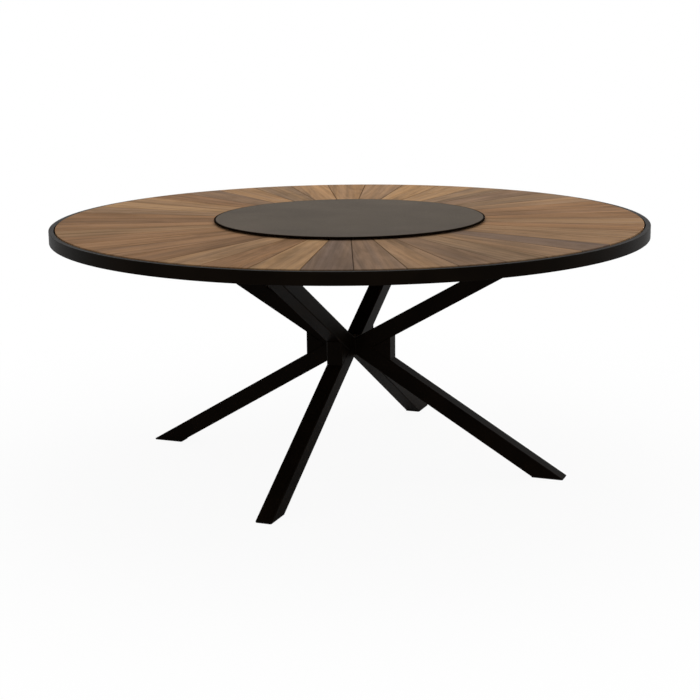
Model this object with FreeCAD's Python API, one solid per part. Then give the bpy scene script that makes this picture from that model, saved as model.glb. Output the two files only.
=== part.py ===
import FreeCAD
import Part

import math
import os

# Round dining table.  Wedge-shaped wooden slats lie side by side on a ledge inside a rolled
# steel rim and on a plate in the middle.  Four rails tie the rim to that plate.  Four legs of
# square tube, each bent like an arrowhead, meet at a block half-way up and are bolted under
# the rails.  A round tray with an inlaid disc, the lazy susan, turns above the slats about a
# pivot stud and rides on a ring of rollers, which follows it at half its speed.
#
# Origin: on the floor, under the centre of the table.  +Z is up.  Millimetres, degrees.

# ---------------------------------------------------------------- driving dimensions
# Overall
TABLE_DIAMETER = 1800.0        # over the steel rim
TABLE_HEIGHT = 750.0           # from the floor to the upper face of the slats

# Slatted top
SLAT_COUNT = 41
SLAT_THICKNESS = 20.0
SLAT_GAP = 1.2                 # between one slat and the next
SLAT_RIM_GAP = 4.0             # between the slats' outer ends and the rim's flange
SLAT_ARRIS = 0.8               # bevel along a slat's upper edges, except under the tray
SLAT_PROUD = 2.5               # height of the slats above the rim
SLAT_SEAT = 45.0               # length of a slat's inner end that lies on the hub plate
SLAT_END_SEAT = 25.0           # length of a slat's outer end that lies on the ledge
FIRST_GAP_AZIMUTH = -89.4      # where the first gap between two slats points

# Steel rim, an angle section rolled with its flange inwards
RIM_HEIGHT = 36.0
RIM_FLANGE = 15.0              # width over the flange
RIM_WALL = 4.0                 # thickness of the web and of the flange
SHEET = 3.0                    # thickness of the ledge and of the hub plate

# Pivot in the middle of the top
STUD_DIAMETER = 12.0
STUD_CLEARANCE = 0.5           # between the stud's upper end and the disc
STUD_PLAY = 0.1                # around the stud in the tray

# Rails under the top
RAIL_WALL = 2.0
RAIL_EDGE = 1.5                # bevel on the rail's long edges
RAIL_START_RADIUS = 60.0

# Legs
LEG_COUNT = 4
LEG_AZIMUTH = -21.2            # where the first leg points
TUBE_WIDTH = 50.0
TUBE_WALL = 3.0
TUBE_EDGE = 2.5                # bevel on the square tube's long edges
WAIST_HEIGHT = 362.0           # height of the plane where upper and lower arms are mitred
SPINE_RADIUS = 138.0           # from the table's axis to the upright face of a leg's bend
SPINE_HEIGHT = 70.0            # height of that upright face
HEAD_SLOPE = 30.1              # of a leg's upper arm, from the horizontal
FOOT_SLOPE = 30.8              # of a leg's lower arm, from the horizontal
CORE_RISE = 28.0               # of the block between the legs, above and below the waist

# Head plates and their bolts
HEAD_PLATE = 6.0               # thickness
HEAD_PLATE_LIP = 40.0          # how far a head plate reaches beyond the tube, both ways
BOLT_INSET = 17.0              # from a head plate's end to its bolt
BOLT_DIAMETER = 8.0
BOLT_ACROSS_FLATS = 13.0
BOLT_HEAD = 5.3                # height of the head
BOLT_GRIP = 18.0               # length of the shank
BOLT_PLAY = 0.25               # around the shank in its holes

# Foot caps
CAP_FLANGE = 3.0
CAP_PLUG = 14.0                # height of the plug above the flange
CAP_INSET = 1.0                # flange kept back from the tube's outline
CAP_CORNER = 3.0               # cut off each corner of the flange
CAP_PLAY = 0.3                 # between the plug and the tube

# Lazy susan
SUSAN_DIAMETER = 820.0
SUSAN_RISE = 9.5               # from the slats to the upper face of the disc
SUSAN_COVER = 40.0             # how far the tray covers the slats' inner ends
DISC_THICKNESS = 3.0
DISC_PROUD = 0.5               # height of the disc above the tray's lip
DISC_PLAY = 0.3                # between the disc and the lip
TRAY_SHEET = 1.5
TRAY_LIP = 5.0                 # width of the lip

# Ring of rollers
ROLLER_COUNT = 4
ROLLER_LENGTH = 14.0
ROLLER_CIRCLE_RADIUS = 150.0
ROLLER_PLAY = 0.3              # around a roller: to the hub plate, the tray and its pocket
CAGE_RAIL = 5.0                # width of the cage beside a roller's ends
CAGE_THICKNESS = 2.0

# How far a cutter runs past what it cuts
CUT_PAST = 1.0

# ---------------------------------------------------------------- sizes that follow
RIM_RADIUS = TABLE_DIAMETER / 2
RIM_INNER_RADIUS = RIM_RADIUS - RIM_WALL
FLANGE_INNER_RADIUS = RIM_RADIUS - RIM_FLANGE
RIM_TOP = TABLE_HEIGHT - SLAT_PROUD
RIM_BOTTOM = RIM_TOP - RIM_HEIGHT

SLAT_BOTTOM = TABLE_HEIGHT - SLAT_THICKNESS
SLAT_OUTER_RADIUS = FLANGE_INNER_RADIUS - SLAT_RIM_GAP
LEDGE_INNER_RADIUS = SLAT_OUTER_RADIUS - SLAT_END_SEAT
SLAT_PITCH = 360.0 / SLAT_COUNT
SUSAN_RADIUS = SUSAN_DIAMETER / 2
SLAT_INNER_RADIUS = SUSAN_RADIUS - SUSAN_COVER
HUB_RADIUS = SLAT_INNER_RADIUS + SLAT_SEAT
SHEET_BOTTOM = SLAT_BOTTOM - SHEET

RAIL_HEIGHT = SHEET_BOTTOM - RIM_BOTTOM
RAIL_WIDTH = TUBE_WIDTH
RAIL_END_RADIUS = math.sqrt(RIM_INNER_RADIUS ** 2 - (RAIL_WIDTH / 2) ** 2)

HEAD_HEIGHT = RIM_BOTTOM - HEAD_PLATE
LEG_START_RADIUS = TUBE_WIDTH / 2

DISC_TOP = TABLE_HEIGHT + SUSAN_RISE
DISC_BOTTOM = DISC_TOP - DISC_THICKNESS
TRAY_BOTTOM = DISC_BOTTOM - TRAY_SHEET
TRAY_TOP = DISC_TOP - DISC_PROUD
DISC_RADIUS = SUSAN_RADIUS - TRAY_LIP - DISC_PLAY

ROLLER_HEIGHT = (SLAT_BOTTOM + TRAY_BOTTOM) / 2
ROLLER_DIAMETER = TRAY_BOTTOM - SLAT_BOTTOM - 2 * ROLLER_PLAY
POCKET_LENGTH = ROLLER_LENGTH + 2 * ROLLER_PLAY
POCKET_WIDTH = ROLLER_DIAMETER + 2 * ROLLER_PLAY

ORIGIN = FreeCAD.Vector(0, 0, 0)
ACROSS = FreeCAD.Vector(0, 1, 0)
UP = FreeCAD.Vector(0, 0, 1)


# ---------------------------------------------------------------- helpers
def turned(shape, azimuth):
    """A copy of a shape, turned about the table's axis."""
    copy = shape.copy()
    copy.rotate(ORIGIN, UP, azimuth)
    return copy


def revolved(outline):
    """The solid that a closed outline of (radius, height) points sweeps about the axis."""
    points = [FreeCAD.Vector(radius, 0, height) for radius, height in outline]
    wire = Part.makePolygon(points + [points[0]])
    return Part.Face(wire).revolve(ORIGIN, UP, 360)


def ring(inner_radius, outer_radius, bottom, top):
    """A flat ring of rectangular section."""
    return revolved([
        (inner_radius, bottom),
        (outer_radius, bottom),
        (outer_radius, top),
        (inner_radius, top),
    ])


def bar(start, end, width, height):
    """A solid rectangular bar along X, centred on it."""
    corner_point = FreeCAD.Vector(start, -width / 2, -height / 2)
    return Part.makeBox(end - start, width, height, corner_point)


def tube(start, end, width, height, wall, bevel):
    """A rectangular tube along X, centred on it, its long edges bevelled."""
    blank = bar(start, end, width, height)
    long_edges = [edge for edge in blank.Edges if edge.BoundBox.XLength > (end - start) / 2]
    bore = bar(start - CUT_PAST, end + CUT_PAST, width - 2 * wall, height - 2 * wall)
    return blank.makeChamfer(bevel, long_edges).cut(bore)


def plate(start, end, width, bottom, thickness):
    """A flat rectangular plate along X."""
    corner_point = FreeCAD.Vector(start, -width / 2, bottom)
    return Part.makeBox(end - start, width, thickness, corner_point)


def group(shapes):
    """Several separate solids as one sub-part."""
    return Part.makeCompound(shapes)


# ---------------------------------------------------------------- slatted top
def make_slat():
    """One slat, its centre line along +X.

    Its sides run parallel to the radial gap lines, half a gap inside them, so that every
    gap is equally wide from end to end.  The outer end follows the rim.
    """
    half_angle = math.radians(SLAT_PITCH / 2)
    setback = SLAT_GAP / 2
    side_length = math.sqrt(SLAT_OUTER_RADIUS ** 2 - setback ** 2)
    outer_x = side_length * math.cos(half_angle) + setback * math.sin(half_angle)
    outer_y = side_length * math.sin(half_angle) - setback * math.cos(half_angle)
    inner_y = SLAT_INNER_RADIUS * math.tan(half_angle) - setback / math.cos(half_angle)

    inner_right = FreeCAD.Vector(SLAT_INNER_RADIUS, -inner_y, SLAT_BOTTOM)
    outer_right = FreeCAD.Vector(outer_x, -outer_y, SLAT_BOTTOM)
    outer_middle = FreeCAD.Vector(SLAT_OUTER_RADIUS, 0, SLAT_BOTTOM)
    outer_left = FreeCAD.Vector(outer_x, outer_y, SLAT_BOTTOM)
    inner_left = FreeCAD.Vector(SLAT_INNER_RADIUS, inner_y, SLAT_BOTTOM)
    outline = Part.Wire([
        Part.makeLine(inner_right, outer_right),
        Part.Arc(outer_right, outer_middle, outer_left).toShape(),
        Part.makeLine(outer_left, inner_left),
        Part.makeLine(inner_left, inner_right),
    ])
    board = Part.Face(outline).extrude(FreeCAD.Vector(0, 0, SLAT_THICKNESS))
    open_edges = []
    for edge in board.Edges:
        is_upper = edge.BoundBox.ZMin > TABLE_HEIGHT - SLAT_THICKNESS / 2
        is_inner_end = edge.BoundBox.XMax < SLAT_INNER_RADIUS + SLAT_SEAT
        if is_upper and not is_inner_end:
            open_edges.append(edge)
    return board.makeChamfer(SLAT_ARRIS, open_edges)


def make_rim():
    """The rolled rim, with the ledge inside it that carries the slats' outer ends."""
    return revolved([
        (RIM_INNER_RADIUS, RIM_BOTTOM),
        (RIM_RADIUS, RIM_BOTTOM),
        (RIM_RADIUS, RIM_TOP),
        (FLANGE_INNER_RADIUS, RIM_TOP),
        (FLANGE_INNER_RADIUS, RIM_TOP - RIM_WALL),
        (RIM_INNER_RADIUS, RIM_TOP - RIM_WALL),
        (RIM_INNER_RADIUS, SLAT_BOTTOM),
        (LEDGE_INNER_RADIUS, SLAT_BOTTOM),
        (LEDGE_INNER_RADIUS, SHEET_BOTTOM),
        (RIM_INNER_RADIUS, SHEET_BOTTOM),
    ])


def make_hub_plate():
    """The round plate that carries the slats' inner ends and that the rollers run on."""
    return Part.makeCylinder(HUB_RADIUS, SHEET, FreeCAD.Vector(0, 0, SHEET_BOTTOM))


def make_rail():
    """One rail along +X, from near the axis to the rim, drilled for its leg's bolts."""
    rail = tube(
        RAIL_START_RADIUS, RAIL_END_RADIUS, RAIL_WIDTH, RAIL_HEIGHT, RAIL_WALL, RAIL_EDGE
    )
    rail.translate(FreeCAD.Vector(0, 0, (SHEET_BOTTOM + RIM_BOTTOM) / 2))
    for radius in bolt_radii():
        rail = rail.cut(bolt_hole(radius, RIM_BOTTOM, RAIL_WALL))
    return rail


# ---------------------------------------------------------------- legs
def arm_ends(slope, rise):
    """Radii where an arm's upper and lower face cross a plane, rise above the waist."""
    outer = SPINE_RADIUS + (rise - SPINE_HEIGHT / 2) / math.tan(math.radians(slope))
    inner = outer - TUBE_WIDTH / math.sin(math.radians(slope))
    return inner, outer


def head_plate_ends():
    """Radii of the two ends of a head plate."""
    inner, outer = arm_ends(HEAD_SLOPE, HEAD_HEIGHT - WAIST_HEIGHT)
    return inner - HEAD_PLATE_LIP, outer + HEAD_PLATE_LIP


def bolt_radii():
    """Radii of the two bolts of a leg."""
    start, end = head_plate_ends()
    return start + BOLT_INSET, end - BOLT_INSET


def bolt_hole(radius, bottom, thickness):
    """What a drill removes from a wall for one bolt of the leg along +X."""
    hole_radius = BOLT_DIAMETER / 2 + BOLT_PLAY
    base = FreeCAD.Vector(radius, 0, bottom - CUT_PAST)
    return Part.makeCylinder(hole_radius, thickness + 2 * CUT_PAST, base)


def laid_along_arm(shape, slope):
    """A shape made along X, moved to an arm that rises from the spine's upper corner.

    Heights are counted from the waist, so that the same arm mirrored is a lower one.
    """
    angle = math.radians(slope)
    placed = shape.copy()
    placed.rotate(ORIGIN, ACROSS, -slope)
    placed.translate(FreeCAD.Vector(
        SPINE_RADIUS - TUBE_WIDTH / 2 * math.sin(angle),
        0,
        SPINE_HEIGHT / 2 + TUBE_WIDTH / 2 * math.cos(angle),
    ))
    return placed


def arm_span(slope, rise):
    """Start and end of the blank an arm is cut from, counted along the arm."""
    beyond = 2 * TUBE_WIDTH
    start = -SPINE_RADIUS / math.cos(math.radians(slope)) - beyond
    end = rise / math.sin(math.radians(slope)) + beyond
    return start, end


def make_arm(slope, rise):
    """A tube arm above the waist, mitred at the waist and the core, cut level at its end."""
    start, end = arm_span(slope, rise)
    blank = tube(start, end, TUBE_WIDTH, TUBE_WIDTH, TUBE_WALL, TUBE_EDGE)
    reach = arm_ends(slope, rise)[1]
    corner_point = FreeCAD.Vector(LEG_START_RADIUS, -TUBE_WIDTH / 2, 0)
    room = Part.makeBox(reach, TUBE_WIDTH, rise, corner_point)
    return laid_along_arm(blank, slope).common(room)


def make_spine():
    """The short upright tube that fills the bend between the arms, heights from the waist."""
    half = SPINE_HEIGHT / 2
    head_notch = SPINE_RADIUS - half / math.tan(math.radians(HEAD_SLOPE))
    foot_notch = SPINE_RADIUS - half / math.tan(math.radians(FOOT_SLOPE))
    depth = SPINE_RADIUS - min(head_notch, foot_notch)
    upright = tube(-half, half, TUBE_WIDTH, depth, TUBE_WALL, TUBE_EDGE)
    upright.rotate(ORIGIN, ACROSS, -90)
    upright.translate(FreeCAD.Vector(SPINE_RADIUS - depth / 2, 0, 0))
    side_y = -TUBE_WIDTH / 2
    wedge = Part.makePolygon([
        FreeCAD.Vector(head_notch, side_y, 0),
        FreeCAD.Vector(foot_notch, side_y, 0),
        FreeCAD.Vector(SPINE_RADIUS, side_y, -half),
        FreeCAD.Vector(SPINE_RADIUS, side_y, half),
        FreeCAD.Vector(head_notch, side_y, 0),
    ])
    return upright.common(Part.Face(wedge).extrude(FreeCAD.Vector(0, TUBE_WIDTH, 0)))


def make_head_plate():
    """The plate on top of an upper arm, drilled for two bolts."""
    start, end = head_plate_ends()
    drilled = plate(start, end, TUBE_WIDTH, HEAD_HEIGHT, HEAD_PLATE)
    for radius in bolt_radii():
        drilled = drilled.cut(bolt_hole(radius, HEAD_HEIGHT, HEAD_PLATE))
    return drilled


def make_leg():
    """One leg along +X: two arms, the spine between them and the head plate, welded."""
    upper_arm = make_arm(HEAD_SLOPE, HEAD_HEIGHT - WAIST_HEIGHT)
    lower_arm = make_arm(FOOT_SLOPE, WAIST_HEIGHT - CAP_FLANGE).mirror(ORIGIN, UP)
    frame = upper_arm.fuse([lower_arm, make_spine()])
    frame.translate(FreeCAD.Vector(0, 0, WAIST_HEIGHT))
    return frame.fuse(make_head_plate()).removeSplitter()


def make_core():
    """The block between the four legs."""
    half = LEG_START_RADIUS
    corner_point = FreeCAD.Vector(-half, -half, WAIST_HEIGHT - CORE_RISE)
    return Part.makeBox(2 * half, 2 * half, 2 * CORE_RISE, corner_point)


def make_foot_cap():
    """The plastic cap under the foot along +X: a flange with a plug up into the tube."""
    rise = WAIST_HEIGHT - CAP_FLANGE
    inner, outer = arm_ends(FOOT_SLOPE, rise)
    flange_width = TUBE_WIDTH - 2 * CAP_INSET
    flange = plate(inner + CAP_INSET, outer - CAP_INSET, flange_width, 0, CAP_FLANGE)
    upright_edges = [edge for edge in flange.Edges if edge.BoundBox.ZLength > CAP_FLANGE / 2]
    flange = flange.makeChamfer(CAP_CORNER, upright_edges)

    plug_width = TUBE_WIDTH - 2 * TUBE_WALL - 2 * CAP_PLAY
    start, end = arm_span(FOOT_SLOPE, rise)
    blank = bar(start, end, plug_width, plug_width)
    plug = laid_along_arm(blank, FOOT_SLOPE).mirror(ORIGIN, UP)
    plug.translate(FreeCAD.Vector(0, 0, WAIST_HEIGHT))
    layer_corner = FreeCAD.Vector(inner, -TUBE_WIDTH / 2, CAP_FLANGE)
    layer = Part.makeBox(outer - inner, TUBE_WIDTH, CAP_PLUG, layer_corner)
    return flange.fuse(plug.common(layer)).removeSplitter()


def make_bolt(radius):
    """A hexagon bolt of the leg along +X, head down."""
    corner_radius = BOLT_ACROSS_FLATS / 2 / math.cos(math.radians(30))
    corners = []
    for angle in range(0, 360, 60):
        x = radius + corner_radius * math.cos(math.radians(angle))
        y = corner_radius * math.sin(math.radians(angle))
        corners.append(FreeCAD.Vector(x, y, HEAD_HEIGHT - BOLT_HEAD))
    hexagon = Part.Face(Part.makePolygon(corners + [corners[0]]))
    head = hexagon.extrude(FreeCAD.Vector(0, 0, BOLT_HEAD))
    shank_base = FreeCAD.Vector(radius, 0, HEAD_HEIGHT)
    shank = Part.makeCylinder(BOLT_DIAMETER / 2, BOLT_GRIP, shank_base)
    return head.fuse(shank)


# ---------------------------------------------------------------- lazy susan
def make_stud():
    """The upright stud on the hub plate that the lazy susan turns about."""
    height = DISC_BOTTOM - STUD_CLEARANCE - SLAT_BOTTOM
    return Part.makeCylinder(STUD_DIAMETER / 2, height, FreeCAD.Vector(0, 0, SLAT_BOTTOM))


def make_tray():
    """The steel tray: a round plate with an upstanding lip and a hole for the stud."""
    bore_radius = STUD_DIAMETER / 2 + STUD_PLAY
    lip_inner_radius = SUSAN_RADIUS - TRAY_LIP
    return revolved([
        (bore_radius, TRAY_BOTTOM),
        (SUSAN_RADIUS, TRAY_BOTTOM),
        (SUSAN_RADIUS, TRAY_TOP),
        (lip_inner_radius, TRAY_TOP),
        (lip_inner_radius, DISC_BOTTOM),
        (bore_radius, DISC_BOTTOM),
    ])


def make_disc():
    """The disc that lies in the tray."""
    return Part.makeCylinder(DISC_RADIUS, DISC_THICKNESS, FreeCAD.Vector(0, 0, DISC_BOTTOM))


def spaced(shape):
    """Copies of a shape, one for each roller."""
    step = 360.0 / ROLLER_COUNT
    return [turned(shape, step * number) for number in range(ROLLER_COUNT)]


def make_roller():
    """One roller, its axle pointing outwards along X."""
    start = FreeCAD.Vector(ROLLER_CIRCLE_RADIUS - ROLLER_LENGTH / 2, 0, ROLLER_HEIGHT)
    outwards = FreeCAD.Vector(1, 0, 0)
    return Part.makeCylinder(ROLLER_DIAMETER / 2, ROLLER_LENGTH, start, outwards)


def make_cage():
    """The flat ring that keeps the rollers apart, with a pocket for each."""
    bottom = ROLLER_HEIGHT - CAGE_THICKNESS / 2
    inner_radius = ROLLER_CIRCLE_RADIUS - POCKET_LENGTH / 2 - CAGE_RAIL
    outer_radius = ROLLER_CIRCLE_RADIUS + POCKET_LENGTH / 2 + CAGE_RAIL
    blank = ring(inner_radius, outer_radius, bottom, bottom + CAGE_THICKNESS)
    start = ROLLER_CIRCLE_RADIUS - POCKET_LENGTH / 2
    pocket = bar(start, start + POCKET_LENGTH, POCKET_WIDTH, CAGE_THICKNESS + 2 * CUT_PAST)
    pocket.translate(FreeCAD.Vector(0, 0, ROLLER_HEIGHT))
    return blank.cut(spaced(pocket))


# ---------------------------------------------------------------- assembly
parts = {}

slat = make_slat()
for number in range(SLAT_COUNT):
    middle = FIRST_GAP_AZIMUTH + SLAT_PITCH * (number + 0.5)
    parts["slat_%02d" % (number + 1)] = turned(slat, middle)

parts["rim"] = make_rim()
parts["hub_plate"] = make_hub_plate()

rail = make_rail()
leg = make_leg()
foot_caps = []
leg_bolts = []
for number in range(LEG_COUNT):
    azimuth = LEG_AZIMUTH + 360.0 / LEG_COUNT * number
    parts["rail_%d" % (number + 1)] = turned(rail, azimuth)
    parts["leg_%d" % (number + 1)] = turned(leg, azimuth)
    foot_caps.append(turned(make_foot_cap(), azimuth))
    leg_bolts.extend([turned(make_bolt(radius), azimuth) for radius in bolt_radii()])
parts["foot_caps"] = group(foot_caps)
parts["leg_bolts"] = group(leg_bolts)
parts["hub_core"] = turned(make_core(), LEG_AZIMUTH)

parts["pivot_stud"] = make_stud()
parts["roller_cage"] = make_cage()
parts["rollers"] = group(spaced(make_roller()))
parts["susan_tray"] = make_tray()
parts["susan_disc"] = make_disc()

os.makedirs("parts", exist_ok=True)
for name, shape in parts.items():
    shape.exportStep("parts/%s.step" % name)
faulty = [name for name, shape in parts.items() if not shape.isValid()]
print("sub-parts:", len(parts), "not valid:", faulty)
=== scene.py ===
import math

import bpy
import numpy as np
from mathutils import Matrix, Vector


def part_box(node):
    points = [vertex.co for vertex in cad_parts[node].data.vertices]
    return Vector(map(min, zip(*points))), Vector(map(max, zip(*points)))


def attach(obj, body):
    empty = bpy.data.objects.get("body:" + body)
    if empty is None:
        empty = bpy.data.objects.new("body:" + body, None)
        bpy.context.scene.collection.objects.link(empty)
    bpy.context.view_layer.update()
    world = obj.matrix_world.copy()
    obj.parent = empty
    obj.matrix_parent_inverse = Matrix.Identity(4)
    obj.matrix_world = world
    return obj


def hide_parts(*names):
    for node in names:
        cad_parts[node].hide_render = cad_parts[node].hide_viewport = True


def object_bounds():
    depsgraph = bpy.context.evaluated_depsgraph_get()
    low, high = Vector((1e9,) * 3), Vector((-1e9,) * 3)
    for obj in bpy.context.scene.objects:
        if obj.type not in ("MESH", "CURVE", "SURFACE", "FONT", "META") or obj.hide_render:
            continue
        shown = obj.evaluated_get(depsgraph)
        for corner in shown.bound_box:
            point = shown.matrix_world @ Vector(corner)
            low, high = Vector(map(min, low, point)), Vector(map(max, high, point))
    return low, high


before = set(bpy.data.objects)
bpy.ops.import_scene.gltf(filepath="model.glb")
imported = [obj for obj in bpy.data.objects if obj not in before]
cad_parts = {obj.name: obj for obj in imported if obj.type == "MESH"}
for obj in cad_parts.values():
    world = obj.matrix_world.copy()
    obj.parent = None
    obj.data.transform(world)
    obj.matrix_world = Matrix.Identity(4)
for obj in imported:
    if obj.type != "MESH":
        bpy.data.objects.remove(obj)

cad_low, cad_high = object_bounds()

# ---------------------------------------------------------------- camera
# It stands before the table at a grown person's eye height, looks slightly down on the top
# and leans a little to one side.
camera_distance = 4.8422
camera_height = 1.4421
camera_tilt = 0.22304
camera_turn = 0.00052
camera_lean = -0.01021
sensor_width = 36.0
focal_length = 82.6

lens = bpy.data.cameras.new("camera")
lens.sensor_width = sensor_width
lens.lens = focal_length
camera = bpy.data.objects.new("camera", lens)
camera.matrix_world = (
    Matrix.Translation((0, -camera_distance, camera_height))
    @ Matrix.Rotation(camera_turn, 4, "Z")
    @ Matrix.Rotation(math.pi / 2 - camera_tilt, 4, "X")
    @ Matrix.Rotation(camera_lean, 4, "Z")
)
bpy.context.scene.collection.objects.link(camera)
bpy.context.scene.camera = camera
bpy.context.scene.view_settings.view_transform = "Standard"


# ---------------------------------------------------------------- floor and light
# A plain pale studio: a white floor that keeps a soft shadow, an even white surround and two
# large soft lamps.  The arithmetic of every finish below is done by the two classes here.
class Wire:
    """An output of a node.  Arithmetic on it adds the Math nodes that work the sum out."""

    def __init__(self, finish, socket):
        self.finish = finish
        self.socket = socket

    def worked(self, operation, *values):
        """The Math node of this operation, on these values or wires."""
        sockets = dict(enumerate(values))
        return self.finish.node("ShaderNodeMath", {"operation": operation}, sockets)

    def __add__(self, other):
        return self.worked("ADD", self, other)

    def __sub__(self, other):
        return self.worked("SUBTRACT", self, other)

    def __rsub__(self, other):
        return self.worked("SUBTRACT", other, self)

    def __mul__(self, other):
        return self.worked("MULTIPLY", self, other)

    def __truediv__(self, other):
        return self.worked("DIVIDE", self, other)

    __radd__ = __add__
    __rmul__ = __mul__


class Finish:
    """A node tree, with short names for the nodes that the finishes are made of."""

    def __init__(self, tree):
        self.tree = tree

    def node(self, kind, settings, sockets, output=0):
        """Adds a node: first its settings, then the values or wires of its sockets."""
        made = self.tree.nodes.new(kind)
        for name, value in settings.items():
            setattr(made, name, value)
        for name, value in sockets.items():
            if isinstance(value, Wire):
                self.tree.links.new(value.socket, made.inputs[name])
            else:
                made.inputs[name].default_value = value
        return Wire(self, made.outputs[output] if made.outputs else None)

    def ray(self, kind):
        """1 on rays of one kind, such as Is Camera Ray, and 0 on all others."""
        return self.node("ShaderNodeLightPath", {}, {}, output=kind)

    def place(self):
        """Where a point lies on the piece, in Object coordinates."""
        return self.node("ShaderNodeTexCoord", {}, {}, output="Object")

    def point(self, x, y, z):
        """The point with these three coordinates."""
        return self.node("ShaderNodeCombineXYZ", {}, {"X": x, "Y": y, "Z": z})

    def distance(self, point):
        """How far a point lies from the origin."""
        settings = {"operation": "LENGTH"}
        return self.node("ShaderNodeVectorMath", settings, {0: point}, output="Value")

    def noise(self, point, scale, detail=2.0, distortion=0.0):
        """Cloudy noise from 0 to 1, mostly near a half, with scale clouds to the metre."""
        sockets = {"Vector": point, "Scale": scale, "Detail": detail, "Distortion": distortion}
        return self.node("ShaderNodeTexNoise", {}, sockets)

    def swing(self, pattern, amount):
        """A pattern from 0 to 1 brought to swing about 0, and multiplied by amount."""
        return amount * (pattern - 0.5)

    def ramp(self, wire, start, end):
        """0 up to start, 1 from end on, and smooth between."""
        settings = {"interpolation_type": "SMOOTHSTEP"}
        sockets = {"Value": wire, "From Min": start, "From Max": end}
        return self.node("ShaderNodeMapRange", settings, sockets)

    def blend(self, share, first, second):
        """first where share is 0, second where it is 1."""
        settings = {"data_type": "RGBA"}
        return self.node("ShaderNodeMix", settings, {0: share, 6: first, 7: second}, output=2)

    def shaded(self, colour, tone, darkest=0.62, reach=0.76):
        """A colour multiplied by darkest where tone is 0, and by darkest + reach where it is 1."""
        strength = darkest + reach * tone
        grey = self.node("ShaderNodeCombineColor", {}, {0: strength, 1: strength, 2: strength})
        settings = {"data_type": "RGBA", "blend_type": "MULTIPLY"}
        return self.node("ShaderNodeMix", settings, {0: 1.0, 6: colour, 7: grey}, output=2)

    def surface(self, base, gloss, relief, depth, strength):
        """Joins a colour, a roughness and a relief, depth metres deep, to the shader."""
        sockets = {"Height": relief, "Distance": depth, "Strength": strength}
        bump = self.node("ShaderNodeBump", {}, sockets)
        shader = self.tree.nodes["Principled BSDF"]
        self.tree.links.new(base.socket, shader.inputs["Base Color"])
        self.tree.links.new(gloss.socket, shader.inputs["Roughness"])
        self.tree.links.new(bump.socket, shader.inputs["Normal"])


floor_half = 60.0
floor_white = 0.90
# the share of the floor's true shade that is left where it is looked at straight, and where
# gloss mirrors it, from the middle out to shadow_reach, and fading until shadow_end
shadow_share = 0.07
mirrored_shadow_share = 0.9
shadow_reach = 0.8
shadow_end = 2.2
surround = 0.62
white = (1.0, 1.0, 1.0, 1.0)

floor_mesh = bpy.data.meshes.new("floor")
floor_corners = [(-floor_half, -floor_half, 0), (floor_half, -floor_half, 0),
                 (floor_half, floor_half, 0), (-floor_half, floor_half, 0)]
floor_mesh.from_pydata(floor_corners, [], [(0, 1, 2, 3)])
floor = bpy.data.objects.new("floor", floor_mesh)
bpy.context.scene.collection.objects.link(floor)

floor_material = bpy.data.materials.new("floor")
floor_material.use_nodes = True
floor_material.node_tree.nodes.clear()
studio = Finish(floor_material.node_tree)
straight = studio.ray("Is Camera Ray") + studio.ray("Is Transmission Ray")
mirrored = studio.ray("Is Glossy Ray")
near = 1 - studio.ramp(studio.distance(studio.place()), shadow_reach, shadow_end)
whitened = straight * (1 - shadow_share * near) + mirrored * (1 - mirrored_shadow_share * near)
painted = studio.node("ShaderNodeBsdfDiffuse", {}, {"Color": (floor_white,) * 3 + (1.0,)})
lit = studio.node("ShaderNodeEmission", {}, {"Color": white, "Strength": 1.0})
mixed = studio.node("ShaderNodeMixShader", {}, {0: whitened, 1: painted, 2: lit})
studio.node("ShaderNodeOutputMaterial", {}, {"Surface": mixed})
floor_mesh.materials.append(floor_material)

world = bpy.data.worlds.new("studio")
world.use_nodes = True
world.node_tree.nodes.clear()
studio = Finish(world.node_tree)
looked_at = studio.ray("Is Camera Ray") + studio.ray("Is Glossy Ray")
looked_at = looked_at + studio.ray("Is Transmission Ray")
even = studio.node("ShaderNodeBackground", {}, {"Color": white, "Strength": surround})
backdrop = studio.node("ShaderNodeBackground", {}, {"Color": white, "Strength": 1.0})
mixed = studio.node("ShaderNodeMixShader", {}, {0: looked_at, 1: even, 2: backdrop})
studio.node("ShaderNodeOutputWorld", {}, {"Surface": mixed})
bpy.context.scene.world = world

aim_height = 0.7 * cad_high.z


def soft_lamp(name, place, width, power):
    """A square lamp that looks at the middle of the table."""
    lamp = bpy.data.lights.new(name, "AREA")
    lamp.size = width
    lamp.energy = power
    holder = bpy.data.objects.new(name, lamp)
    holder.location = place
    aim = Vector((0, 0, aim_height)) - holder.location
    holder.rotation_euler = aim.to_track_quat("-Z", "Y").to_euler()
    bpy.context.scene.collection.objects.link(holder)


soft_lamp("lamp_above", place=(0.0, 1.8, 3.3), width=3.0, power=46.0)
soft_lamp("lamp_right", place=(4.0, 0.6, 1.7), width=2.5, power=24.0)


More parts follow.
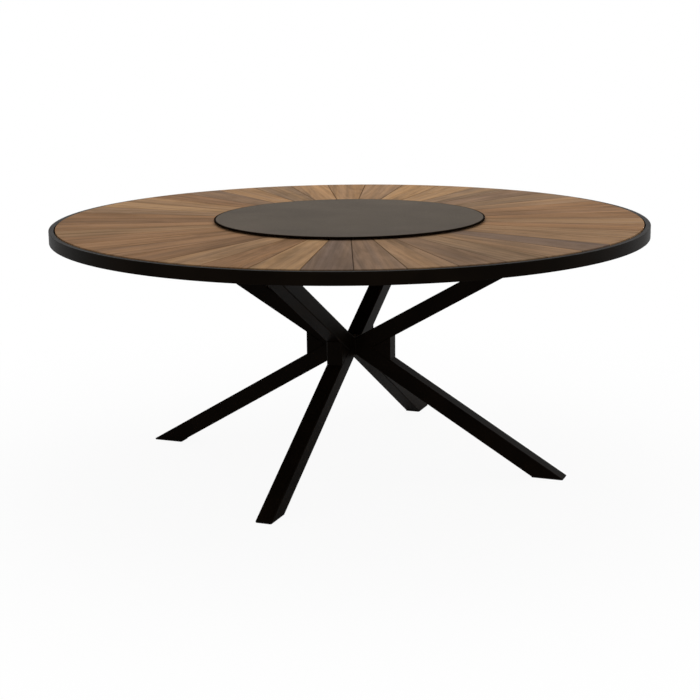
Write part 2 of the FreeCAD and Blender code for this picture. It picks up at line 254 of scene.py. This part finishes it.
# ---------------------------------------------------------------- rim
# A steel angle rolled into a hoop with its flange inwards, a flat ledge welded inside it, all
# powder coated black.  The coat has the fine orange peel that baking leaves.
def softened(corners, closed=True, steps=4):
    """The outline of (radius, height, cut) corners, each corner rounded.

    A corner P becomes the parabola (1 - s)^2 A + 2 s (1 - s) P + s^2 B, where A and B lie on
    its two sides at the distance cut; a point beyond A and one beyond B keep the flats flat.
    An open outline begins beside its second corner and ends beside its last but one.
    """
    corner = np.array(corners, float)
    middle = corner[:, :2]
    cut = corner[:, 2:]
    before = np.roll(middle, 1, axis=0) - middle
    after = np.roll(middle, -1, axis=0) - middle
    before /= np.linalg.norm(before, axis=1, keepdims=True)
    after /= np.linalg.norm(after, axis=1, keepdims=True)
    start = (middle + before * cut)[:, None]
    end = (middle + after * cut)[:, None]
    s = np.linspace(0, 1, steps + 1)[None, :, None]
    bow = (1 - s) ** 2 * start + 2 * s * (1 - s) * middle[:, None] + s ** 2 * end
    hold = 0.6
    lead_in = (middle + before * cut * (1 + hold))[:, None]
    lead_out = (middle + after * cut * (1 + hold))[:, None]
    rounded = np.concatenate([lead_in, bow, lead_out], axis=1)
    return (rounded if closed else rounded[1:-1]).reshape(-1, 2)


def shown(name, points, faces, smooth=True):
    """An object of the given mesh, at the origin, unturned."""
    mesh = bpy.data.meshes.new(name)
    mesh.from_pydata(points.tolist(), [], [list(face) for face in faces])
    mesh.polygons.foreach_set("use_smooth", [smooth] * len(mesh.polygons))
    piece = bpy.data.objects.new(name, mesh)
    bpy.context.scene.collection.objects.link(piece)
    return piece


def gridded(rows, columns, wrap_rows=True, wrap_columns=True):
    """The four-sided faces of a grid of points, numbered row by row, closed where it wraps.

    The face at (i, j) has the corners (i, j), (i, j + 1), (i + 1, j + 1) and (i + 1, j).
    """
    row = np.arange(rows if wrap_rows else rows - 1)[:, None]
    column = np.arange(columns if wrap_columns else columns - 1)[None, :]
    next_row = (row + 1) % rows
    next_column = (column + 1) % columns
    corners = [row * columns + column, row * columns + next_column,
               next_row * columns + next_column, next_row * columns + column]
    return np.stack(corners, axis=-1).reshape(-1, 4)


def revolved(outline, turns):
    """The points of a (radius, height) outline turned about the table's axis.

    Point (i, j) is outline point j at the angle -2 pi i / turns, so that faces point outwards
    when the outline is given anticlockwise.
    """
    angle = -2 * np.pi * np.arange(turns)[:, None] / turns
    radius = outline[None, :, 0]
    x = radius * np.cos(angle)
    y = radius * np.sin(angle)
    z = outline[None, :, 1] + 0 * angle
    return np.stack([x, y, z], axis=-1).reshape(-1, 3)


def lathed(name, outline, turns=360):
    """A ring: a closed outline turned about the table's axis."""
    return shown(name, revolved(outline, turns), gridded(turns, len(outline)))


def seen(red, green, blue):
    """The colour that a screen shows with these values of 0 to 255, by the sRGB curve."""
    share = np.array([red, green, blue]) / 255
    linear = np.where(share > 0.04045, ((share + 0.055) / 1.055) ** 2.4, share / 12.92)
    return (*linear.tolist(), 1.0)


def scaled(colour, *shares):
    """A colour times one share, or its red, green and blue times a share each."""
    return (*(np.array(colour[:3]) * shares).tolist(), 1.0)


def new_finish(name, constants):
    """A material with these constants on its shader, and the Finish that adds its nodes."""
    material = bpy.data.materials.new(name)
    material.use_nodes = True
    shader = material.node_tree.nodes["Principled BSDF"]
    for socket, value in constants.items():
        shader.inputs[socket].default_value = value
    return material, Finish(material.node_tree)


def powder_coat(name, colour, roughness, shine):
    """Baked powder: a fine orange peel, slightly uneven in gloss and in depth of colour."""
    material, coat = new_finish(name, {"Specular IOR Level": shine})
    place = coat.place()
    peel = coat.noise(place, scale=420.0, detail=3.0)
    cloud = coat.noise(place, scale=7.0, detail=4.0)
    base = coat.blend(coat.ramp(cloud, start=0.3, end=0.75), colour, scaled(colour, 1.9))
    gloss = roughness + coat.swing(cloud, 0.14) + coat.swing(peel, 0.10)
    coat.surface(base, gloss, relief=peel, depth=0.00025, strength=0.6)
    return material


black_coat = powder_coat("black_powder_coat", seen(11, 7, 4), roughness=0.42, shine=0.015)

rim_wall = 0.004
rim_flange = 0.015
slat_rim_gap = 0.004
slat_end_seat = 0.025
rim_round = 0.0014
edge_round = 0.0006
ledge_sheet = 0.003
sheet_round = 0.0004
slat_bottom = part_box("slat_01")[0].z
rim_low, rim_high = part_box("rim")
rim_radius = rim_high.x
rim_inner = rim_radius - rim_wall
flange_inner = rim_radius - rim_flange
flange_bottom = rim_high.z - rim_wall
slat_outer = flange_inner - slat_rim_gap
ledge_inner = slat_outer - slat_end_seat
ledge_bottom = slat_bottom - ledge_sheet

rim = lathed("steel_rim", softened([
    (rim_inner, rim_low.z, edge_round),
    (rim_radius, rim_low.z, rim_round),
    (rim_radius, rim_high.z, rim_round),
    (flange_inner, rim_high.z, edge_round),
    (flange_inner, flange_bottom, edge_round),
    (rim_inner, flange_bottom, rim_round),
    (rim_inner, slat_bottom, sheet_round),
    (ledge_inner, slat_bottom, sheet_round),
    (ledge_inner, ledge_bottom, sheet_round),
    (rim_inner, ledge_bottom, sheet_round),
]), turns=512)
rim.data.materials.append(black_coat)
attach(rim, "frame")
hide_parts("rim")


# ---------------------------------------------------------------- hub plate, rails and legs
# A round plate, four flat tubes out to the rim, four legs of mitred square tube and the block
# between them.  They are cut, welded and coated black like the rim.
def dress(names, material):
    """Gives each of these solids the material."""
    for name in names:
        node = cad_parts[name]
        node.data.materials.clear()
        node.data.materials.append(material)


steelwork = ["hub_plate", "hub_core"]
steelwork += ["rail_%d" % (number + 1) for number in range(4)]
steelwork += ["leg_%d" % (number + 1) for number in range(4)]
dress(steelwork, black_coat)


# ---------------------------------------------------------------- weld beads
# Rippled beads where steel meets steel: across the head plates, up the rails' ends, down the
# corners of the core, and in short stitches under the ledge and under the hub plate.
def closed_tubes(pieces, rows, columns):
    """The faces of several tubes, each of rows rings of columns points, with closed ends.

    Ring i of tube p begins at the point (p rows + i) columns.
    """
    wall = gridded(rows, columns, wrap_rows=False)
    first = np.arange(columns)[::-1]
    last = (rows - 1) * columns + np.arange(columns)
    faces = []
    for piece in range(pieces):
        skip = piece * rows * columns
        faces += (wall + skip).tolist()
        faces += [(first + skip).tolist(), (last + skip).tolist()]
    return faces


def weld_beads(name, starts, ends, size, rows=41, columns=8, ripples=10):
    """Beads from each start to each end, round in section, blunt at the ends.

    Ring i lies at the share s = i / (rows - 1) of the way, its point j at the angle
    2 pi j / columns about it.  The ring's radius is size times the square root of
    1.1 - (2 s - 1)^8, times 1 + 0.1 cos(2 pi ripples s).
    """
    starts = np.array(starts, float)[:, None, None]
    way = np.array(ends, float)[:, None, None] - starts
    ahead = way / np.linalg.norm(way, axis=-1, keepdims=True)
    upright = np.abs(ahead[..., 2:]) > 0.9
    aside = np.cross(ahead, np.where(upright, [1.0, 0.0, 0.0], [0.0, 0.0, 1.0]))
    aside /= np.linalg.norm(aside, axis=-1, keepdims=True)
    over = np.cross(ahead, aside)
    s = np.linspace(0, 1, rows)[None, :, None, None]
    angle = (2 * np.pi * np.arange(columns) / columns)[None, None, :, None]
    radius = size * np.sqrt(1.1 - (2 * s - 1) ** 8) * (1 + 0.1 * np.cos(2 * np.pi * ripples * s))
    points = starts + way * s + radius * (np.cos(angle) * aside + np.sin(angle) * over)
    return shown(name, points.reshape(-1, 3), closed_tubes(len(starts), rows, columns))


def around_legs(points):
    """Points given for a leg along X, turned about the axis to the bearings of all four."""
    bearing = leg_bearing + math.pi / 2 * np.arange(4)[:, None]
    x, y, z = np.array(points, float).T
    turned_x = x * np.cos(bearing) - y * np.sin(bearing)
    turned_y = x * np.sin(bearing) + y * np.cos(bearing)
    return np.stack([turned_x, turned_y, z + 0 * bearing], axis=-1).reshape(-1, 3)


def around_table(radius, bearing, height):
    """The points (radius cos bearing, radius sin bearing, height), one for each bearing."""
    bearing = np.array(bearing)
    return np.stack([radius * np.cos(bearing), radius * np.sin(bearing),
                     height + 0 * bearing], axis=-1)


leg_bearing = math.radians(-21.2)
half_tube = 0.025
plate_bottom = 0.7055
arm_inner_end = 0.5705
arm_outer_end = 0.6702
rail_end = 0.8956
waist = 0.362
sheet_bottom = ledge_bottom
weld_side = half_tube - 0.003
rail_weld_low = rim_low.z + 0.002
rail_weld_high = sheet_bottom - 0.001
core_weld_low = waist - 0.025
core_weld_high = waist + 0.026

plate_welds = weld_beads(
    "welds_head_plates",
    around_legs([(end, -weld_side, plate_bottom) for end in (arm_inner_end, arm_outer_end)]),
    around_legs([(end, weld_side, plate_bottom) for end in (arm_inner_end, arm_outer_end)]),
    size=0.0022,
)
rail_welds = weld_beads(
    "welds_rail_ends",
    around_legs([(rail_end, side, rail_weld_low) for side in (half_tube, -half_tube)]),
    around_legs([(rail_end, side, rail_weld_high) for side in (half_tube, -half_tube)]),
    size=0.0018,
    rows=21,
    ripples=5,
)
core_welds = weld_beads(
    "welds_core",
    around_legs([(half_tube, half_tube, core_weld_low)]),
    around_legs([(half_tube, half_tube, core_weld_high)]),
    size=0.003,
)

stitch_count = 24
stitch_half = 0.016
stitch_radii = (0.11, 0.22, 0.33)
stitch_bearing = leg_bearing + 2 * math.pi * (np.arange(stitch_count) + 0.5) / stitch_count
stitch_turn = stitch_half / rim_inner
stitch_from = [around_table(rim_inner, stitch_bearing - stitch_turn, sheet_bottom)]
stitch_to = [around_table(rim_inner, stitch_bearing + stitch_turn, sheet_bottom)]
for along in stitch_radii:
    for across in (-half_tube, half_tube):
        stitch_from.append(around_legs([(along - stitch_half, across, sheet_bottom)]))
        stitch_to.append(around_legs([(along + stitch_half, across, sheet_bottom)]))
stitches = weld_beads(
    "welds_stitches", np.concatenate(stitch_from), np.concatenate(stitch_to), size=0.0014
)

for beads in (plate_welds, rail_welds, core_welds, stitches):
    beads.data.materials.append(black_coat)
    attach(beads, "frame")


# ---------------------------------------------------------------- slats
# Wedge-shaped boards of reclaimed hardwood, sawn lengthwise, so that the grain runs outwards
# on each.  They come from different old boards: eight tones, mixed round the table, oiled.
slat_count = 41
slat_pitch = 2 * math.pi / slat_count
first_gap = math.radians(-89.4)
slat_setback = 0.0006


def board_wood(name, colour):
    """Oiled old hardwood.  Every pattern is laid out along and across the board it lies on.

    A board's number comes from its bearing; along and across are measured from the line
    through its middle, and each board reads another stretch of the same patterns.
    """
    material, wood = new_finish(name, {"Specular IOR Level": 0.006})
    parts = wood.node("ShaderNodeSeparateXYZ", {}, {0: wood.place()})
    x, y, z = [Wire(wood, socket) for socket in parts.socket.node.outputs]
    bearing = x.worked("ARCTAN2", y, x) - first_gap
    bearing = bearing.worked("WRAP", bearing, 2 * math.pi, 0.0)
    board = bearing.worked("FLOOR", bearing / slat_pitch)
    aside = bearing - (board + 0.5) * slat_pitch
    radius = x.worked("SQRT", x * x + y * y)
    along = radius * aside.worked("COSINE", aside)
    across = radius * aside.worked("SINE", aside)
    edge = (slat_pitch / 2 - aside.worked("ABSOLUTE", aside)) * radius - slat_setback

    shift_along = 3.37
    shift_across = 0.83
    start = along + board * shift_along
    side = across + board * shift_across

    def drawn(lengthwise, crosswise, upwards, detail=2.0, distortion=0.0):
        """Noise drawn out along the board, with this many clouds to the metre each way."""
        point = wood.point(start * lengthwise, side * crosswise, z * upwards)
        return wood.noise(point, 1.0, detail, distortion)

    figure = drawn(lengthwise=1.5, crosswise=11, upwards=11, detail=3.0, distortion=0.6)
    rings_to_figure = 55
    rings = figure.worked("SINE", figure * rings_to_figure)
    streak = drawn(lengthwise=1.4, crosswise=70, upwards=70, detail=3.0)
    fibre = drawn(lengthwise=14, crosswise=620, upwards=620)
    pore = wood.ramp(drawn(lengthwise=30, crosswise=1300, upwards=900), start=0.62, end=0.70)
    blotch = drawn(lengthwise=3, crosswise=7, upwards=7, detail=4.0)
    age = drawn(lengthwise=0.9, crosswise=26, upwards=26, detail=3.0, distortion=0.4)

    tone = 0.5 + wood.swing(streak, 1.5) + wood.swing(blotch, 1.4) + 0.10 * rings
    tone = tone + wood.swing(fibre, 0.30)
    base = wood.blend(tone, scaled(colour, 0.62), scaled(colour, 1.38))
    greyed = scaled(colour, 0.90, 0.98, 1.16)
    warmed = scaled(colour, 1.10, 1.02, 0.84)
    aged = wood.blend(0.5 + wood.swing(age, 2.4), greyed, warmed)
    aged_share = 0.45
    base = wood.blend(aged_share, base, wood.shaded(aged, tone))

    # the pores are darkened as real dirt; the board's edge beside each seam is darkened as painted
    # shade
    dirt_and_seam_shade = scaled(colour, 0.42, 0.40, 0.38)
    dirt_and_seam_shade_share = 0.55
    clear_of_seam_shade = wood.ramp(edge, start=0.0, end=0.0026)
    base = wood.blend(dirt_and_seam_shade_share * pore, base, dirt_and_seam_shade)
    # painted shade: each board darkens over its last 2.6 mm towards the seam
    base = wood.blend(dirt_and_seam_shade_share * (1 - clear_of_seam_shade), base, dirt_and_seam_shade)
    gloss = 0.60 + wood.swing(streak, 0.16) + 0.22 * pore + wood.swing(fibre, 0.12)
    relief = fibre * 0.6 + rings * 0.12 - pore * 0.8
    wood.surface(base, gloss, relief, depth=0.0002, strength=0.7)
    return material


woods = {
    "d": board_wood("wood_grey_brown", seen(114, 94, 79)),
    "u": board_wood("wood_umber", seen(125, 101, 81)),
    "r": board_wood("wood_russet", seen(130, 99, 72)),
    "b": board_wood("wood_brown", seen(133, 108, 84)),
    "c": board_wood("wood_chestnut", seen(140, 107, 78)),
    "t": board_wood("wood_tan", seen(141, 112, 85)),
    "h": board_wood("wood_honey", seen(150, 118, 87)),
    "p": board_wood("wood_pale_honey", seen(157, 124, 90)),
}
# one letter a board, anticlockwise from the first gap
mixed_boards = "utubtdthchccctbubppthhbhurhptrrchcccrhcpd"
for number, letter in enumerate(mixed_boards):
    dress(["slat_%02d" % (number + 1)], woods[letter])


# ---------------------------------------------------------------- seam shade strips
# A strip of dark wood lies in every seam at half the boards' thickness.  It is painted shade:
# it makes the seams dark, where the white floor would otherwise show through them.
def strips_on_edge(name, bearings, ends, half_width, heights):
    """Straight strips that run outwards, one on each bearing.

    Ring i has the radius ends[i].  Its four corners lie half_width to the left or the right of
    the bearing's line, at heights[1] for the first two and at heights[0] for the others.
    """
    bearing = np.array(bearings)[:, None, None]
    radius = np.array(ends)[None, :, None]
    side = half_width * np.array([1, -1, -1, 1])[None, None, :]
    height = np.array([heights[1], heights[1], heights[0], heights[0]])
    x = radius * np.cos(bearing) - side * np.sin(bearing)
    y = radius * np.sin(bearing) + side * np.cos(bearing)
    points = np.stack([x, y, height + 0 * x], axis=-1)
    rows = len(ends)
    columns = len(height)
    faces = closed_tubes(len(bearings), rows, columns)
    return shown(name, points.reshape(-1, 3), faces, smooth=False)


shade_strip_height = 0.004
shade_strip_play = 0.00002
shade_strip_inner = 0.374
shade_strip_back = 0.002
slat_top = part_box("slat_01")[1].z
slat_middle = (slat_bottom + slat_top) / 2
seam_bearing = first_gap + slat_pitch * np.arange(slat_count)

# the strips are painted shade in the seams
seam_shade_strips = strips_on_edge(
    "seam_shade_strips",
    seam_bearing,
    (shade_strip_inner, slat_outer - shade_strip_back),
    slat_setback - shade_strip_play,
    (slat_middle - shade_strip_height / 2, slat_middle + shade_strip_height / 2),
)
# the dark wood of the strips is painted shade
seam_shade_strips.data.materials.append(board_wood("wood_painted_seam_shade", seen(46, 37, 30)))
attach(seam_shade_strips, "frame")


# ---------------------------------------------------------------- slat screws
# Two pan-head screws hold each slat from below, one through the ledge and one through the hub
# plate, zinc plated.  Where a rail crosses, the slat is held by its other screw alone.
def zinc_plate(name, colour, roughness):
    """Bright zinc: metal with faint crystals, cloudy in gloss, a little yellow in places."""
    material, zinc = new_finish(name, {"Metallic": 1.0})
    place = zinc.place()
    cloud = zinc.noise(place, scale=60.0, detail=4.0)
    crystal = zinc.noise(place, scale=900.0)
    yellow = scaled(colour, 0.98, 0.93, 0.80)
    base = zinc.blend(zinc.ramp(cloud, start=0.35, end=0.70), colour, yellow)
    gloss = roughness + zinc.swing(cloud, 0.20) + zinc.swing(crystal, 0.14)
    zinc.surface(base, gloss, relief=crystal, depth=0.0001, strength=0.4)
    return material


def turned_pieces(name, profile, spots, columns):
    """Small turned pieces: a (radius, height) profile about an upright line at each (x, y).

    Ring i has the radius and height of profile point i, from the top down, and its point j
    lies at the angle -2 pi j / columns.
    """
    radius, height = np.array(profile, float).T[:, None, :, None]
    angle = -2 * np.pi * np.arange(columns)[None, None, :] / columns
    x = np.array(spots, float)[:, 0, None, None] + radius * np.cos(angle)
    y = np.array(spots, float)[:, 1, None, None] + radius * np.sin(angle)
    points = np.stack([x, y, height + 0 * x], axis=-1)
    faces = closed_tubes(len(spots), len(profile), columns)
    return shown(name, points.reshape(-1, 3), faces, smooth=False)


bright_zinc = zinc_plate("zinc_plate", (0.60, 0.60, 0.58, 1.0), roughness=0.34)

screw_radius = 0.0042
screw_clearance = 1.3 * screw_radius
ledge_screw_circle = 0.8685
hub_screw_circle = 0.3925
slat_bearing = first_gap + slat_pitch * (np.arange(slat_count) + 0.5)
quarter = math.pi / 2
rail_off = np.abs((slat_bearing - leg_bearing + quarter / 2) % quarter - quarter / 2)
screw_spots = []
for circle in (ledge_screw_circle, hub_screw_circle):
    is_clear = rail_off > (half_tube + screw_clearance) / circle
    screw_spots.append(around_table(circle, slat_bearing[is_clear], 0.0))

# radius and height over the sheet, from the head's seat down to the bottom of its recess
pan_head = [(screw_radius, 0.0001), (screw_radius, -0.0007), (0.0037, -0.0016),
            (0.0027, -0.0022), (0.0015, -0.0023), (0.0013, -0.0009)]
slat_screws = turned_pieces(
    "slat_screws",
    [(radius, sheet_bottom + height) for radius, height in pan_head],
    np.concatenate(screw_spots),
    columns=12,
)
slat_screws.data.materials.append(bright_zinc)
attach(slat_screws, "frame")


# ---------------------------------------------------------------- leg bolts and pivot stud
# Hexagon bolts hold the legs' head plates under the rails.  The pivot stud stands on the hub
# plate, with a washer and a nut under it.
dress(["leg_bolts", "pivot_stud"], bright_zinc)

stud_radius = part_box("pivot_stud")[1].x
thread_radius = stud_radius - 0.0002
washer_radius = 0.012
washer_sheet = 0.0015
nut_corner = 0.01097
nut_face = 0.0102
nut_height = 0.0095
nut_bevel = 0.0006
stud_rest = 0.002
bedding = 0.0001
washer_bottom = sheet_bottom - washer_sheet
nut_bottom = washer_bottom - nut_height
stud_end = nut_bottom - stud_rest
table_middle = [(0.0, 0.0)]
stud_fittings = [
    turned_pieces("stud_washer", [
        (washer_radius, sheet_bottom),
        (washer_radius, washer_bottom + 0.0002),
        (washer_radius - 0.0003, washer_bottom),
    ], table_middle, columns=48),
    turned_pieces("stud_nut", [
        (nut_face, washer_bottom + bedding),
        (nut_corner, washer_bottom - nut_bevel),
        (nut_corner, nut_bottom + nut_bevel),
        (nut_face, nut_bottom),
    ], table_middle, columns=6),
    turned_pieces("stud_end", [
        (thread_radius, nut_bottom + 0.0005),
        (thread_radius, stud_end + 0.0006),
        (thread_radius - 0.0007, stud_end),
    ], table_middle, columns=48),
]
for fitting in stud_fittings:
    fitting.data.materials.append(bright_zinc)
    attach(fitting, "frame")


# ---------------------------------------------------------------- foot caps
# A cap of moulded black plastic is pressed into the end of each lower arm.  It closes the tube
# and stands on the floor.
def moulded_plastic(name, colour, roughness):
    """Moulded plastic: the fine grain of the mould, scuffed a little paler in places."""
    material, plastic = new_finish(name, {"Specular IOR Level": 0.2})
    place = plastic.place()
    grain = plastic.noise(place, scale=1100.0, detail=3.0)
    scuff = plastic.ramp(plastic.noise(place, scale=90.0, detail=5.0), start=0.52, end=0.72)
    base = plastic.blend(0.5 * scuff, colour, scaled(colour, 2.6))
    gloss = roughness + 0.15 * scuff + plastic.swing(grain, 0.10)
    plastic.surface(base, gloss, relief=grain, depth=0.0001, strength=0.5)
    return material


dress(["foot_caps"], moulded_plastic("black_plastic", seen(20, 20, 20), roughness=0.5))


# ---------------------------------------------------------------- ring of rollers
# Four turned nylon rollers in a flat zinc-plated cage, which keeps them evenly spaced.  They
# run on the hub plate and carry the tray.
def turned_nylon(name, colour, roughness):
    """Nylon turned on a lathe: milky, with fine tool marks and a soft gloss."""
    material, nylon = new_finish(name, {"Specular IOR Level": 0.4})
    place = nylon.place()
    cloud = nylon.noise(place, scale=40.0, detail=3.0)
    marks_to_metre = 9000.0
    far = nylon.distance(place)
    marks = far.worked("SINE", far * marks_to_metre)
    base = nylon.blend(nylon.ramp(cloud, start=0.3, end=0.7), colour, scaled(colour, 0.86))
    gloss = roughness + nylon.swing(cloud, 0.10) + 0.03 * marks
    nylon.surface(base, gloss, relief=marks, depth=0.00005, strength=0.4)
    return material


dress(["roller_cage"], bright_zinc)
dress(["rollers"], turned_nylon("white_nylon", (0.74, 0.73, 0.68, 1.0), roughness=0.38))


# ---------------------------------------------------------------- lazy susan tray
# A round of thin steel plate with a low upstanding lip.  Its coat is black as the rim's is, but
# matt, so that the lip stays a dark line round the disc.
matt_coat = powder_coat("black_matt_coat", seen(14, 8, 4), roughness=0.6, shine=0.0005)

lip_width = 0.005
tray_sheet = 0.0015
lip_round = 0.0008
stud_play = 0.0001
tray_low, tray_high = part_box("susan_tray")
tray_radius = tray_high.x
tray_bore = stud_radius + stud_play
plate_top = tray_low.z + tray_sheet

tray = lathed("susan_tray_black", softened([
    (tray_bore, tray_low.z, sheet_round),
    (tray_radius, tray_low.z, lip_round),
    (tray_radius, tray_high.z, lip_round),
    (tray_radius - lip_width, tray_high.z, lip_round),
    (tray_radius - lip_width, plate_top, sheet_round),
    (tray_bore, plate_top, sheet_round),
]))
tray.data.materials.append(matt_coat)
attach(tray, "susan")
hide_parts("susan_tray")


# ---------------------------------------------------------------- lazy susan disc
# A disc of warm grey stone, honed to a low sheen and eased at the edge.  It drops into the
# tray and stands a hair above the lip.
def honed_stone(name, colour, speck_colour, roughness):
    """Honed stone: faint clouds, fine specks and a low, even sheen."""
    material, stone = new_finish(name, {"Specular IOR Level": 0.006})
    place = stone.place()
    cloud = stone.noise(place, scale=5.0, detail=5.0, distortion=0.3)
    speck = stone.ramp(stone.noise(place, scale=900.0), start=0.55, end=0.75)
    grain = stone.noise(place, scale=260.0, detail=3.0)
    tone = 0.5 + stone.swing(cloud, 2.2) + stone.swing(grain, 0.5)
    base = stone.blend(tone, scaled(colour, 0.82), scaled(colour, 1.16))
    base = stone.blend(0.5 * speck, base, speck_colour)
    gloss = roughness + stone.swing(cloud, 0.12) + stone.swing(grain, 0.12)
    stone.surface(base, gloss, relief=grain, depth=0.0001, strength=0.5)
    return material


def capped(name, outline, turns=360):
    """A round without a hole: an open outline turned about the table's axis, its ends closed.

    Two points on the axis, level with the outline's first and last points, are joined to the
    first and last rings by triangles.
    """
    columns = len(outline)
    here = columns * np.arange(turns)
    ahead = np.roll(here, -1)
    low_end = turns * columns + 0 * here
    first_fan = np.stack([here, ahead, low_end], axis=-1)
    last_fan = np.stack([ahead + columns - 1, here + columns - 1, low_end + 1], axis=-1)
    wall = gridded(turns, columns, wrap_columns=False)
    ends = [(0.0, 0.0, outline[0, 1]), (0.0, 0.0, outline[-1, 1])]
    points = np.concatenate([revolved(outline, turns), ends])
    return shown(name, points, wall.tolist() + first_fan.tolist() + last_fan.tolist())


disc_round = 0.0008
disc_low, disc_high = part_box("susan_disc")
disc_radius = disc_high.x
disc = capped("susan_disc_stone", softened([
    (0.0, disc_low.z, disc_round),
    (disc_radius, disc_low.z, disc_round),
    (disc_radius, disc_high.z, disc_round),
    (0.0, disc_high.z, disc_round),
], closed=False))
warm_grey = honed_stone("honed_stone", seen(85, 77, 68), seen(140, 130, 120), roughness=0.56)
disc.data.materials.append(warm_grey)
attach(disc, "susan")
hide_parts("susan_disc")
